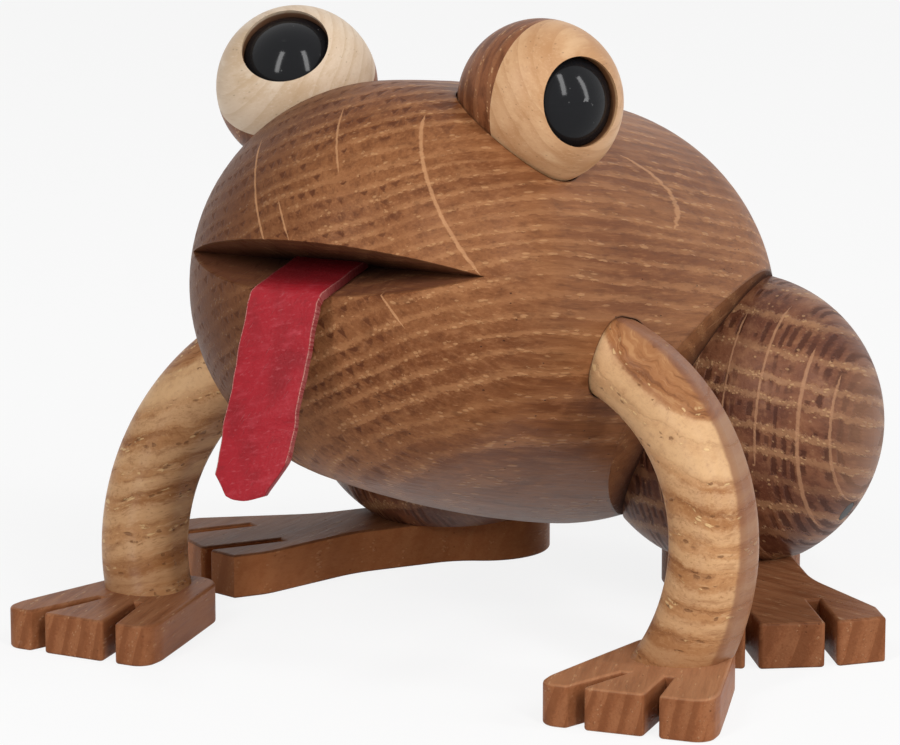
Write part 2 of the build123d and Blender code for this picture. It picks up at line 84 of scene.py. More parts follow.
# Each arm is part of a hoop: its centre, how far it leans back, its radius and half its section
HOOPS = {"left": (Vector((16.45, -20.29, 18.21)), 12.4), "right": (Vector((-15.74, -18.45, 16.28)), 19.4)}
HOOP_RADIUS = 29.3
ARM_HALF_WIDTH = 5.6
ARM_HALF_DEPTH = 6.85
ARM_EDGE = 5.4
THIGH_RADIUS = 22.3
THIGHS = {side: Vector((24.3 * sign, 37.25, 25.65)) for side, sign in SIDES.items()}

# The flat on the body for the left thigh: its outward way, and how far out it lies that way
FLAT_WAY = Vector((0.8802, 0.1034, -0.4633))
FLAT_REACH = 7.06

# Spacing of the growth rings in each wood, in millimetres
BODY_RING = 2.15
ARM_RING = 4.2
FRONT_FOOT_RING = 2.3
REAR_FOOT_RING = 3.4
EYE_BACK_RING = 2.3
EYE_FRONT_RING = 1.9
DOWEL_RING = 1.6


def heading(azimuth, elevation):
    """Unit vector towards an azimuth, 0 in front of the frog and 90 on its left, and an elevation."""
    level = cos(radians(elevation))
    return Vector((sin(radians(azimuth)) * level, -cos(radians(azimuth)) * level, sin(radians(elevation))))


def mirrored(left, sign):
    """A place or way on the left, or its mirror image on the right where sign is -1."""
    return Vector((left[0] * sign, left[1], left[2]))


class Value:
    """A number or vector that varies over a surface: one output socket of a material's nodes."""

    def __init__(self, tree, socket):
        self.tree = tree
        self.socket = socket

    def node(self, kind, sockets, output=0, **settings):
        """Add a node. Its settings come first, then the values or links of its sockets."""
        made = self.tree.nodes.new(kind)
        for name, setting in settings.items():
            setattr(made, name, setting)
        for name, value in sockets.items():
            if isinstance(value, Value):
                self.tree.links.new(value.socket, made.inputs[name])
            else:
                made.inputs[name].default_value = value
        return Value(self.tree, made.outputs[output])

    def math(self, operation, *others):
        return self.node("ShaderNodeMath", dict(enumerate((self, *others))), operation=operation)

    def __add__(self, other):
        return self.math("ADD", other)

    __radd__ = __add__

    def __sub__(self, other):
        return self.math("SUBTRACT", other)

    def __rsub__(self, other):
        return self.node("ShaderNodeMath", {0: other, 1: self}, operation="SUBTRACT")

    def __mul__(self, other):
        return self.math("MULTIPLY", other)

    __rmul__ = __mul__

    def __truediv__(self, other):
        return self.math("DIVIDE", other)

    def __abs__(self):
        return self.math("ABSOLUTE")

    def dot(self, way):
        return self.node("ShaderNodeVectorMath", {0: self, 1: way}, 1, operation="DOT_PRODUCT")

    def distance(self, place):
        return self.node("ShaderNodeVectorMath", {0: self, 1: place}, 1, operation="DISTANCE")

    def ramp(self, low, high, start=0.0, end=1.0):
        """Smooth step from start, where this value is low, to end, where it is high."""
        sockets = {0: self, 1: low, 2: high, 3: start, 4: end}
        return self.node("ShaderNodeMapRange", sockets, interpolation_type="SMOOTHSTEP")

    def vector(self, x, y, z):
        return self.node("ShaderNodeCombineXYZ", {0: x, 1: y, 2: z})

    def noise(self, x, y, z, detail=2.0, roughness=0.5):
        """Soft noise about one half, at places given in its own cells."""
        sockets = {"Vector": self.vector(x, y, z), "Scale": 1.0, "Detail": detail, "Roughness": roughness}
        return self.node("ShaderNodeTexNoise", sockets)

    def cells(self, x, y, z):
        """Scattered cells: the distance to the nearest seed, and a random number for each."""
        sockets = {"Vector": self.vector(x, y, z), "Scale": 1.0}
        nearest = self.node("ShaderNodeTexVoronoi", sockets)
        colour = Value(self.tree, nearest.socket.node.outputs[1])
        return nearest, self.node("ShaderNodeSeparateColor", {0: colour})

    def draw(self, x, y, z=0.0):
        """A random number for each set of whole numbers."""
        return self.node("ShaderNodeTexWhiteNoise", {0: self.vector(x, y, z)}, noise_dimensions="3D")

    def mix(self, rgb, share):
        """Colour between this one and a plain one, by a share of the plain one."""
        return self.node("ShaderNodeMix", {0: share, 6: self, 7: (*rgb, 1.0)}, 2, data_type="RGBA")

    def under(self, *layers):
        """This colour under others in turn. Each layer is a colour and the share of it that shows."""
        colour = self
        for rgb, share in layers:
            colour = colour.mix(rgb, share)
        return colour


def greater(first, second):
    return first.math("MAXIMUM", second)


class Finish:
    """A material under way: its shader, its tree and places in millimetres on the piece."""

    def __init__(self, name, specular=0.5):
        self.material = bpy.data.materials.new(name)
        self.material.use_nodes = True
        self.tree = self.material.node_tree
        self.shader = self.tree.nodes["Principled BSDF"]
        self.shader.inputs["Specular IOR Level"].default_value = specular
        coordinates = self.tree.nodes.new("ShaderNodeTexCoord")
        metres = Value(self.tree, coordinates.outputs["Object"])
        self.facing = Value(self.tree, coordinates.outputs["Normal"])
        self.place = metres.node("ShaderNodeVectorMath", {0: metres, 3: PER_METRE}, operation="SCALE")

    def axis(self, number):
        """Places along one axis: 0 for X, 1 for Y, 2 for Z."""
        return self.place.node("ShaderNodeSeparateXYZ", {0: self.place}, number)

    def axes(self):
        return [self.axis(number) for number in range(3)]

    def noise(self, size, detail=2.0):
        """Soft noise in cells of a size, about one half."""
        return self.place.noise(*[axis / size for axis in self.axes()], detail)

    def feed(self, **sockets):
        """Lead values to the shader: words of a socket's name are joined by _ here."""
        for name, value in sockets.items():
            socket = self.shader.inputs[name.replace("_", " ")]
            self.tree.links.new(value.socket, socket)

    def bump(self, height, depth, strength=1.0):
        """Relief of a depth in millimetres."""
        sockets = {"Height": height, "Distance": depth * MM, "Strength": strength}
        self.feed(Normal=height.node("ShaderNodeBump", sockets))

    def colour(self, rgb, other, share):
        """Colour between two plain ones."""
        sockets = {0: share, 6: (*rgb, 1.0), 7: (*other, 1.0)}
        return self.place.node("ShaderNodeMix", sockets, 2, data_type="RGBA")


class Wood(Finish):
    """Finish of a wooden piece: places along its fibres, out through its rings and round them."""

    def __init__(self, name, radial, tangential, centre=(0, 0, 0), wander=1.0, pith=0.0, specular=0.14):
        super().__init__(name, specular)
        radial = Vector(radial).normalized()
        tangential = Vector(tangential).normalized()
        middle = Vector(centre) - radial * pith
        here = self.place.node("ShaderNodeVectorMath", {0: self.place, 1: middle}, operation="SUBTRACT")
        self.along = here.dot(radial.cross(tangential).normalized())
        out = here.dot(radial)
        side = here.dot(tangential)
        # Rings wander a little, as they do in the tree, and the straight places don't
        drift = out.noise(self.along / 40.0, out / 16.0, side / 12.0) - 0.5
        sway = out.noise(self.along / 50.0 + 7.0, out / 20.0, side / 26.0) - 0.5
        if pith:
            around = side.math("ARCTAN2", out) * pith
            out = (out * out + side * side).math("SQRT")
            side = around
        self.out = out + drift * (2.0 * wander)
        self.side = side + sway * (2.0 * wander)
        self.straight_out = out
        self.straight_side = side
        # Fine unevenness that breaks up every edge in the pattern
        self.crumb = out.noise(self.along / 2.6, out / 0.42, side / 0.42, 3.0, 0.62) - 0.5
        self.mottle = out.noise(self.along / 5.0, out / 1.3, side / 1.3, 4.0, 0.65) - 0.5

    def rings(self, gap, uneven):
        """Number of the ring at each place, and the share of the ring that lies below it."""
        drift = self.out.noise(self.out / (3.0 * gap), self.along / 90.0, self.side / 60.0) - 0.5
        year = self.out / gap + drift * uneven
        return year.math("FLOOR"), year.math("FRACT")

    def streaks(self, length, thickness, detail=3.0):
        """Fine streaks along the fibres, about one half."""
        return self.out.noise(self.along / length, self.out / thickness, self.side / thickness, detail, 0.6)

    def pores(self, length, height, width, share, size=0.48):
        """Open pores, long along the fibres and filled with pale finish, in a share of the cells."""
        near, draw = self.out.cells(self.along / length, self.out / height, self.side / width)
        return (near + self.crumb * 0.25).ramp(size, size * 0.55) * draw.ramp(1.0 - share, 1.04 - share)

    def blocks(self, number, share, width, length, amount):
        """Patches of dark wood between fine rays, widest where they hang below a row of pores."""
        shift = self.out.noise(number * 1.7, self.side / 6.0, self.along / 14.0, 1.0)
        place = self.side / width + number * 0.37 + shift * 2.2 + self.crumb * 0.3
        step = place.math("FLOOR")
        draw = self.out.draw(step, number, (self.along / length + step * 0.4).math("FLOOR"))
        low = 0.28 + self.out.draw(step, number, 9.0) * 0.4 + self.crumb * 0.5
        half = share.ramp(low, 0.95, 0.1, 0.42)
        shape = (half - abs(place.math("FRACT") - 0.5)).ramp(0.0, 0.2)
        height = share.ramp(low, low + 0.14) * (share + self.crumb * 0.3).ramp(1.02, 0.9)
        return shape * height * draw.ramp(1.0 - amount, 1.3 - amount)

    def ray(self, side, low, high, start, end, width):
        """A broad ray: a thin pale plane between two rings and two places along the fibres."""
        reach = self.out.ramp(low, low + 3.0) * self.out.ramp(high, high - 3.0)
        reach = reach * self.along.ramp(start, start + 4.0) * self.along.ramp(end, end - 4.0)
        off = abs(self.straight_side - side + self.crumb * 0.16 + self.mottle * 0.25)
        return (off / (reach * width + 0.01)).ramp(1.1, 0.45) * reach.ramp(0.04, 0.3)

    def all_rays(self, rays):
        """Several broad rays, each given as ray takes it."""
        shown = self.ray(*rays[0])
        for numbers in rays[1:]:
            shown = greater(shown, self.ray(*numbers))
        return shown


def arm_offsets(finish, side):
    """How far a place is out from the line through the arm's section, and how far in front of it."""
    centre, lean = HOOPS[side]
    here = finish.place.node("ShaderNodeVectorMath", {0: finish.place, 1: centre}, operation="SUBTRACT")
    across = here.dot(Vector((1, 0, 0)))
    rise = here.dot(Vector((0, sin(radians(lean)), cos(radians(lean)))))
    front = here.dot(Vector((0, -cos(radians(lean)), sin(radians(lean)))))
    return (across * across + rise * rise).math("SQRT") - HOOP_RADIUS, front


def section_reach(finish, side):
    """How far a place stands out from the rounded section of an arm."""
    out, front = arm_offsets(finish, side)
    beside = (abs(out) - (ARM_HALF_WIDTH - ARM_EDGE)).math("MAXIMUM", 0.0)
    ahead = (abs(front) - (ARM_HALF_DEPTH - ARM_EDGE)).math("MAXIMUM", 0.0)
    return (beside * beside + ahead * ahead).math("SQRT") - ARM_EDGE


# The body's rings lie nearly level and its fibres run from nose to tail, so both ends show end grain
BODY_RINGS = BACK_WAY + Vector((-0.48, 0, 0))
BODY_ROUND = Vector((0.84, -0.02, 0.545))

# Broad rays on the body, the seen ones first. Each has its place across, its lowest and highest place out
# through the rings, its first and last place along the fibres, and half its thickness
BODY_RAYS = (
    (51.7, 33.5, 59.0, -70.0, -24.0, 0.2),
    (56.2, 40.0, 53.0, -16.0, 20.0, 0.08),
    (30.9, 46.0, 64.0, -75.0, -40.0, 0.2),
    (43.0, 52.0, 63.5, -75.0, -40.0, 0.16),
    (34.5, 45.0, 52.5, -75.0, -45.0, 0.18),
    (42.1, 29.0, 36.0, -75.0, -45.0, 0.15),
    (28.0, 30.0, 52.0, -60.0, 0.0, 0.2),
    (12.0, 20.0, 44.0, -50.0, 30.0, 0.2),
    (34.0, 44.0, 66.0, 0.0, 60.0, 0.2),
    (-4.0, 26.0, 50.0, -40.0, 40.0, 0.2),
    (48.0, 20.0, 42.0, 10.0, 70.0, 0.2),
)


def body_cut_shade(w, colour, deep):
    """Painted shade on the cut faces: in the mouth, by its depth, over the darker sawn wood there; in the
    gaps at the eye seats, with their glue lines, and round the arm pockets; on the flats and in the seams by
    the thighs.
    """
    x, y, z = w.axes()
    mouth_streak = w.out.noise(x / 9.0, y / 0.7, z / 0.5, 3.0, 0.6)
    # Mouth: a dark brown inside, partly its darker sawn wood and partly painted shade, then painted shade
    # that deepens with the depth
    colour = colour.under(
        ((0.115, 0.040, 0.020), deep.ramp(0.15, 0.7) * (0.55 + mouth_streak.ramp(0.6, 0.35) * 0.4)),
        ((0.012, 0.004, 0.003), deep.ramp(2.5, 10.0) * 0.9),
    )
    for side, sign in SIDES.items():
        # Painted shade in the gap round each eye, with the glue line at its seam, and round each arm's pocket
        seat_shade = w.place.distance(EYES[side]).ramp(EYE_RADIUS + 0.45, EYE_RADIUS + 0.05)
        pocket_shade = section_reach(w, side).ramp(0.5, 0.1) * (x * sign).ramp(18.0, 21.0)
        off_thigh = w.place.distance(THIGHS[side])
        # Painted shade in the seam where the thigh meets the body
        gap = (off_thigh + w.mottle * 2.0).ramp(THIGH_RADIUS + 2.4, THIGH_RADIUS + 0.4)
        # Painted shade on the flat by the thigh: strongest near the thigh, lighter higher up
        near = off_thigh.ramp(THIGH_RADIUS + 12.0, THIGH_RADIUS + 2.0, 0.15, 0.85)
        flat_shade = w.place.dot(mirrored(FLAT_WAY, sign)).ramp(FLAT_REACH - 0.3, FLAT_REACH - 0.06)
        colour = colour.under(
            ((0.040, 0.014, 0.007), greater(seat_shade, pocket_shade) * 0.85),
            ((0.060, 0.024, 0.015), flat_shade * near * (1.0 - z.ramp(34.0, 46.0) * 0.35)),
            ((0.030, 0.011, 0.008), gap * 0.8),
        )
    return colour


def body_oak():
    """Brown oak with rows of pale pores, and dark patches and dashes between them on the end grain."""
    w = Wood("oiled_oak_body", BODY_RINGS, BODY_ROUND, wander=1.3, specular=0.08)
    x, _, z = w.axes()
    number, share = w.rings(BODY_RING, 1.3)
    ragged = w.out.noise(w.along / 6.0, w.out / 1.1, w.side / 0.7, 3.0, 0.7) - 0.5
    grainy = share + w.crumb * 0.6 + ragged * 0.45
    strong = w.out.noise(w.along / 24.0, w.out / 5.0, w.side / 7.0, 2.0).ramp(0.34, 0.6, 0.25, 1.0)
    row = grainy.ramp(0.0, 0.12) * grainy.ramp(0.52, 0.26) * strong
    nose = w.along.ramp(-24.0, -40.0) * x.ramp(21.0, 5.0)
    ends = greater(nose, w.along.ramp(26.0, 44.0)) * z.ramp(26.0, 40.0, 0.3, 1.0)
    broad = w.out.noise(w.along / 42.0, w.out / 11.0, w.side / 18.0, 3.0, 0.55)
    fine = w.streaks(9.0, 0.34)
    long = w.streaks(22.0, 1.3, 4.0)
    many = greater(broad.ramp(0.36, 0.6), x.ramp(6.0, -8.0) * 0.7) * 0.45 + 0.4
    blocks = w.blocks(number, share, 1.45, 9.0, many) * ends.ramp(0.0, 1.0, 0.1, 1.0)
    smudge = w.out.noise(w.along / 8.0, w.out / 1.7, w.side / 0.55, 2.0, 0.6)
    smudge = smudge.ramp(0.5, 0.66) * share.ramp(0.4, 0.66) * many * ends.ramp(0.0, 1.0, 0.25, 1.0)
    pale = w.pores(3.0, 0.44, 0.58, row * 0.52 + 0.03, 0.52)
    pits = w.pores(1.4, 0.7, 0.7, 0.08, 0.2) * z.ramp(66.0, 54.0)
    ray = w.all_rays(BODY_RAYS)
    low = z.ramp(40.0, 16.0)
    nose_side_shade = nose * x.ramp(4.0, -16.0)
    colour = w.colour((0.246, 0.096, 0.037), (0.168, 0.057, 0.020), broad.ramp(0.38, 0.64))
    colour = colour.under(
        ((0.300, 0.130, 0.053), long.ramp(0.5, 0.72) * 0.6),
        ((0.110, 0.036, 0.013), long.ramp(0.49, 0.3) * (0.45 + low * 0.4)),
        ((0.345, 0.152, 0.066), fine.ramp(0.52, 0.76) * 0.6),
        ((0.100, 0.031, 0.011), fine.ramp(0.47, 0.24) * 0.6),
        ((0.400, 0.186, 0.080), row * (0.5 + w.crumb * 0.9) * (1.0 - low * 0.6)),
        ((0.085, 0.025, 0.010), greater(blocks * 0.85, smudge * 0.75)),
        ((0.370, 0.165, 0.072), w.mottle.ramp(0.02, 0.26) * 0.45),
        ((0.090, 0.029, 0.011), w.mottle.ramp(-0.02, -0.26) * 0.5),
        ((0.500, 0.262, 0.120), pale * 0.52),
        ((0.035, 0.012, 0.006), pits * 0.85),
        # Painted shade: darker towards the belly and on the nose's right side (-X)
        ((0.085, 0.030, 0.013), greater(low * 0.42, nose_side_shade * 0.72)),
        ((0.500, 0.255, 0.122), ray * (0.7 + w.mottle * 0.8)),
    )
    deep = NOSE_CAP_RADIUS - w.place.distance(NOSE_CAP)
    colour = body_cut_shade(w, colour, deep)
    w.feed(Base_Color=colour,
           Roughness=0.42 + (fine - 0.5) * 0.25 + blocks * 0.1 + deep.ramp(0.1, 0.6) * 0.3)
    w.bump(fine * 0.3 + w.mottle * 0.3 + row * 0.25 + pale * 0.5 - blocks * 0.5 - pits * 0.8 + ray * 0.25,
           0.12, 0.85)
    return w.material


# Rows of pores on the thigh, by their places out through the rings, and its broad rays as on the body
THIGH_ROWS = (57.6, 53.3, 48.5, 44.5, 41.4, 37.2, 34.0, 30.3, 26.5, 22.6, 18.8, 14.6, 10.5)
THIGH_RAYS = (
    (31.8, 30.0, 54.0, -60.0, 60.0, 0.15),
    (36.3, 31.0, 56.0, -60.0, 60.0, 0.19),
    (41.3, 24.0, 51.0, -60.0, 60.0, 0.25),
    (44.6, 28.5, 48.0, -60.0, 60.0, 0.16),
    (27.2, 36.0, 50.0, -60.0, 60.0, 0.14),
    (34.0, 10.0, 26.0, -60.0, 60.0, 0.17),
    (22.0, 22.0, 44.0, -60.0, 60.0, 0.17),
    (29.3, 14.0, 30.0, -60.0, 60.0, 0.15),
    (15.5, 20.0, 44.0, -60.0, 60.0, 0.18),
)


def thigh_oak(side):
    """Dark oak crossed by pale rows of pores and pale rays, with short dark ticks between them."""
    sign = SIDES[side]
    w = Wood(f"dark_oak_{side}_thigh", mirrored((0.14, 0.25, 1), sign), (sign, 0, 0.03), wander=0.5)
    bend = w.out.noise(w.along / 20.0, w.out / 20.0, w.side / 3.0) - 0.5
    ragged = w.out.noise(w.along / 4.0, w.out / 1.6, w.side / 0.8, 4.0, 0.7) - 0.5
    level = w.out + w.crumb * 1.1 + ragged * 2.2 + bend * 1.5
    nearest = abs(level - THIGH_ROWS[0])
    for row_place in THIGH_ROWS[1:]:
        nearest = nearest.math("MINIMUM", abs(level - row_place))
    strong = w.out.noise(w.along / 30.0, w.out / 4.0, w.side / 9.0, 1.0).ramp(0.34, 0.56, 0.35, 1.0)
    row = nearest.ramp(0.74, 0.3) * strong
    specks = w.pores(2.4, 0.42, 0.46, row * 0.5 + 0.04, 0.52)
    patch = w.out.noise(w.along / 30.0, w.out / 3.6, w.side / 7.0, 1.0).ramp(0.36, 0.5)
    place = w.side / 1.15 + bend * 1.6 + w.crumb * 0.45
    step = place.math("FLOOR")
    tick = abs(place.math("FRACT") - 0.5).ramp(0.36, 0.14)
    tick = tick * w.out.draw(step, (w.out / 3.6 + step * 0.31).math("FLOOR"), 2.0).ramp(0.15, 0.4) * patch
    tick = tick * (nearest + w.crumb * 0.9).ramp(0.5, 1.0)
    soft = w.out.noise(w.along / 16.0, w.out / 2.0, w.side / 1.5, 4.0, 0.62)
    fine = w.streaks(8.0, 0.34)
    broad = w.out.noise(w.along / 30.0, w.out / 6.0, w.side / 8.0, 3.0)
    ray = w.all_rays(THIGH_RAYS)
    outer = (w.axis(0) * sign).ramp(42.5, 46.5)
    colour = w.colour((0.180, 0.068, 0.033), (0.112, 0.036, 0.018), broad.ramp(0.40, 0.6))
    colour = colour.under(
        ((0.262, 0.116, 0.056), soft.ramp(0.5, 0.68) * 0.7),
        ((0.078, 0.023, 0.011), soft.ramp(0.48, 0.32) * 0.55),
        ((0.240, 0.104, 0.054), fine.ramp(0.52, 0.76) * 0.55),
        ((0.250, 0.108, 0.056), w.mottle.ramp(0.02, 0.26) * 0.45),
        ((0.060, 0.018, 0.009), w.mottle.ramp(-0.03, -0.26) * 0.45),
        ((0.050, 0.013, 0.006), tick * 0.8),
        ((0.345, 0.176, 0.086), row * (0.62 + w.crumb * 0.9)),
        ((0.480, 0.276, 0.135), specks * 0.6),
        ((0.400, 0.205, 0.108), ray * (0.7 + w.mottle * 0.8)),
        ((0.280, 0.140, 0.078), outer * (0.3 + fine * 0.4)),
    )
    w.feed(Base_Color=colour, Roughness=0.40 + (fine - 0.5) * 0.25 + tick * 0.1)
    w.bump(fine * 0.3 + w.mottle * 0.3 + row * 0.4 + specks * 0.5 - tick * 0.5 + ray * 0.3, 0.13, 0.9)
    return w.material


# How far from the pith the brown wood at the shoulder gives way to a pale band
BROWN_REACH = {"left": 27.3, "right": 29.5}


def arm_oak(side):
    """Honey oak with rings round a pith above the shoulder, so that its bands cross the arm lower down."""
    sign = SIDES[side]
    radial = mirrored((-0.234, 0, -0.972), sign)
    tangential = mirrored((0.972, 0.1, -0.234), sign)
    centre = mirrored((43.0, -23.0, 28.0), sign)
    w = Wood(f"honey_oak_{side}_arm", radial, tangential, centre, wander=1.5, pith=37.6)
    out, front = arm_offsets(w, side)
    ripple = w.out.noise(w.along / 9.0, w.out / 5.0, w.side / 5.0, 2.0) - 0.5
    w.out = w.out + ripple * 2.6
    _, share = w.rings(ARM_RING, 1.6)
    fine = w.streaks(7.0, 0.4)
    wave = w.out.noise(w.along / 7.0, w.out / 1.1, w.side / 3.6, 4.0, 0.65)
    grainy = share + w.crumb * 0.35
    row = grainy.ramp(0.02, 0.14) * grainy.ramp(0.5, 0.28)
    line = grainy.ramp(0.0, 0.05) * grainy.ramp(0.16, 0.08)
    cluster = w.out.noise(w.along / 8.0, w.out / 2.4, w.side / 4.0, 2.0).ramp(0.46, 0.6)
    gold = w.pores(1.7, 0.42, 1.1, row * cluster * 0.5 + 0.015, 0.56)
    edge = greater(out.ramp(-2.4, -4.4), front.ramp(4.6, 6.0) * 0.4)
    flecks = w.pores(1.2, 0.55, 1.4, row * edge * 0.6 + 0.012, 0.42)
    # Painted shade on the arm's outer face
    if side == "left":
        outer = (out - front * 0.35 + w.mottle * 0.6).ramp(3.7, 4.3)
    else:
        outer = out.ramp(4.9, 5.5) * 0.5
    reach = BROWN_REACH[side]
    brown = (w.straight_out + w.mottle * 1.2).ramp(reach + 0.5, reach - 0.5)
    cream = w.straight_out.ramp(reach - 0.2, reach + 0.6) * w.straight_out.ramp(35.5, 33.0)
    seam = w.out.noise(w.side / 9.0, w.out / 0.6, w.along / 7.0, 3.0, 0.6)
    broad = w.out.noise(w.along / 20.0, w.out / 6.0, w.side / 12.0, 2.0)
    low = w.axis(2).ramp(14.0, 5.5)
    colour = w.colour((0.480, 0.243, 0.105), (0.345, 0.150, 0.055), broad.ramp(0.38, 0.66))
    colour = colour.under(
        ((0.630, 0.385, 0.200), grainy.ramp(0.34, 0.55) * grainy.ramp(1.05, 0.75) * 0.6),
        ((0.680, 0.430, 0.230), wave.ramp(0.52, 0.70) * 0.5),
        ((0.235, 0.088, 0.030), wave.ramp(0.48, 0.30) * 0.48),
        ((0.640, 0.385, 0.190), fine.ramp(0.52, 0.78) * 0.4),
        ((0.220, 0.084, 0.028), fine.ramp(0.46, 0.26) * 0.5),
        ((0.200, 0.074, 0.026), line * broad.ramp(0.4, 0.6) * 0.45),
        ((0.250, 0.095, 0.034), w.mottle.ramp(-0.04, -0.28) * 0.5),
        ((0.700, 0.440, 0.230), cream * (0.55 + w.mottle * 0.8)),
        ((0.300, 0.115, 0.040), brown * 0.8),
        ((0.150, 0.050, 0.017), brown * seam.ramp(0.5, 0.64) * 0.65),
        ((0.520, 0.280, 0.125), brown * seam.ramp(0.46, 0.34) * 0.5),
        ((0.800, 0.550, 0.270), gold * 0.6),
        ((0.120, 0.042, 0.015), flecks * 0.55),
        # Painted shade on the outer face
        ((0.215, 0.086, 0.045), outer * 0.72),
        ((0.260, 0.105, 0.038), low * 0.45),
    )
    w.feed(Base_Color=colour, Roughness=0.38 + (fine - 0.5) * 0.25 + line * 0.1)
    w.bump(fine * 0.25 + wave * 0.35 + w.mottle * 0.3 + gold * 0.5 - flecks * 0.9 - line * 0.3, 0.14, 0.9)
    return w.material


# Each foot: how far its toes point outwards in degrees, the painted light and shade on its top, that on its
# sides, and how much of the first shows
FEET = {
    "left_front_foot": (5.3, (0.560, 0.275, 0.140), (0.300, 0.102, 0.038), 0.36),
    "right_front_foot": (1.8, (0.300, 0.118, 0.050), (0.300, 0.102, 0.038), 0.1),
    "left_rear_foot": (34.0, (0.120, 0.042, 0.017), (0.240, 0.080, 0.030), 0.3),
    "right_rear_foot": (35.4, (0.130, 0.048, 0.020), (0.560, 0.200, 0.064), 0.5),
}


def foot_oak(side, end):
    """Red-brown oak of a foot, with upright rings that stripe its sawn toe ends."""
    name = f"{side}_{end}_foot"
    splay, top_light_and_shade, side_light_and_shade, amount = FEET[name]
    toes = heading(splay * SIDES[side], 0)
    across = toes.cross(UP)
    low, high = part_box(name)
    centre = (low + high) * (0.5 * PER_METRE)
    if end == "rear":
        radial, gap = toes * 0.55 + across * 0.8 + UP * 0.25, REAR_FOOT_RING
    else:
        radial, gap = across + toes * 0.25 + UP * 0.3, FRONT_FOOT_RING
    w = Wood(f"oiled_oak_{name}", radial, UP - radial * 0.2, centre, wander=0.8, specular=0.08)
    _, share = w.rings(gap, 1.2)
    grainy = share + w.crumb * 0.5
    fine = w.streaks(7.0, 0.36)
    wave = w.out.noise(w.along / 14.0, w.out / 1.7, w.side / 4.0, 4.0, 0.6)
    row = grainy.ramp(0.0, 0.14) * grainy.ramp(0.5, 0.3)
    gold = w.pores(2.0, 0.36, 0.45, row * 0.26 + 0.025)
    chips = w.pores(2.0, 2.6, 2.6, 0.05, 0.24)
    pits = w.pores(1.0, 0.6, 0.6, 0.06, 0.24)
    side_face = abs(w.facing.dot(UP)).ramp(0.6, 0.35)
    end_face = w.facing.dot(toes).ramp(0.6, 0.8)
    colour = w.colour((0.290, 0.118, 0.052), (0.205, 0.072, 0.029), wave.ramp(0.40, 0.62))
    colour = colour.under(
        ((0.360, 0.165, 0.078), row * 0.4),
        ((0.380, 0.175, 0.086), fine.ramp(0.52, 0.76) * 0.5),
        ((0.105, 0.032, 0.013), fine.ramp(0.47, 0.26) * 0.55),
        ((0.370, 0.170, 0.082), w.mottle.ramp(0.02, 0.26) * 0.45),
        ((0.100, 0.032, 0.013), w.mottle.ramp(-0.03, -0.26) * 0.45),
        ((0.540, 0.310, 0.160), gold * 0.6),
        ((0.600, 0.390, 0.270), chips * (w.crumb + 0.5).ramp(0.4, 0.6) * 0.7),
        ((0.050, 0.017, 0.008), pits * 0.75),
        ((0.110, 0.036, 0.014), end_face * grainy.ramp(0.5, 0.7) * 0.6),
        # Painted light and shade on the top and sides of the foot, over its wood
        (top_light_and_shade, (1.0 - side_face) * amount),
        (side_light_and_shade, side_face * 0.45),
    )
    w.feed(Base_Color=colour, Roughness=0.44 + (fine - 0.5) * 0.25 + pits * 0.15)
    w.bump(fine * 0.35 + wave * 0.3 + w.mottle * 0.4 + gold * 0.4 - pits * 0.8 + chips * 0.4, 0.15, 0.9)
    return w.material


def maple(name, radial, tangential, centre, tones, gap, recess=None):
    """Fine-grained pale wood with faint rings and short fibres, and painted shade in the recess where it is
    bored.
    """
    base, shade, light = tones
    w = Wood(name, radial, tangential, centre, wander=1.2, specular=0.2)
    _, share = w.rings(gap, 0.8)
    line = share.ramp(0.5, 0.96) * share.ramp(1.0, 0.97)
    fine = w.streaks(4.0, 0.3)
    soft = w.out.noise(w.along / 9.0, w.out / 2.4, w.side / 4.0, 4.0, 0.6)
    broad = w.out.noise(w.along / 12.0, w.out / 7.0, w.side / 7.0, 2.0)
    flecks = w.pores(0.9, 0.3, 0.3, 0.07, 0.4)
    colour = w.colour(base, shade, broad.ramp(0.42, 0.7) * 0.75)
    colour = colour.under(
        (light, soft.ramp(0.5, 0.7) * 0.55),
        (shade, soft.ramp(0.46, 0.3) * 0.6),
        (shade, line * 0.45),
        (light, fine.ramp(0.52, 0.76) * 0.4),
        (shade, fine.ramp(0.44, 0.24) * 0.5),
        ([0.5 * part for part in shade], flecks * 0.45),
    )
    if recess:
        deep = EYE_RADIUS - w.place.distance(recess)
        # Painted shade on the recess wall round the pupil
        colour = colour.mix((0.150, 0.055, 0.022), deep.ramp(0.28, 0.6) * 0.9)
    w.feed(Base_Color=colour, Roughness=0.42 + (fine - 0.5) * 0.2)
    w.bump(fine * 0.4 + soft * 0.3 - flecks * 0.5 - line * 0.2, 0.05, 0.7)
    return w.material


def back_oak(side):
    """Dark oak behind the pale front of an eye."""
    radial = heading(62 * SIDES[side], 8)
    w = Wood(f"oiled_oak_{side}_eye", radial, UP + Vector((0.2, 0, 0)), EYES[side], wander=0.8)
    _, share = w.rings(EYE_BACK_RING, 0.8)
    row = share.ramp(0.0, 0.1) * share.ramp(0.45, 0.28)
    fine = w.streaks(5.0, 0.32)
    wave = w.out.noise(w.along / 9.0, w.out / 1.2, w.side / 3.0, 4.0, 0.6)
    gold = w.pores(1.8, 0.42, 0.5, row * 0.4 + 0.01)
    colour = w.colour((0.230, 0.083, 0.034), (0.130, 0.043, 0.017), wave.ramp(0.4, 0.62))
    colour = colour.under(
        ((0.330, 0.140, 0.062), row * 0.45),
        ((0.090, 0.028, 0.012), fine.ramp(0.46, 0.26) * 0.5),
        ((0.520, 0.290, 0.140), gold * 0.7),
    )
    w.feed(Base_Color=colour, Roughness=0.42 + (fine - 0.5) * 0.25)
    w.bump(fine * 0.4 + row * 0.3 + gold * 0.5, 0.09, 0.8)
    return w.material


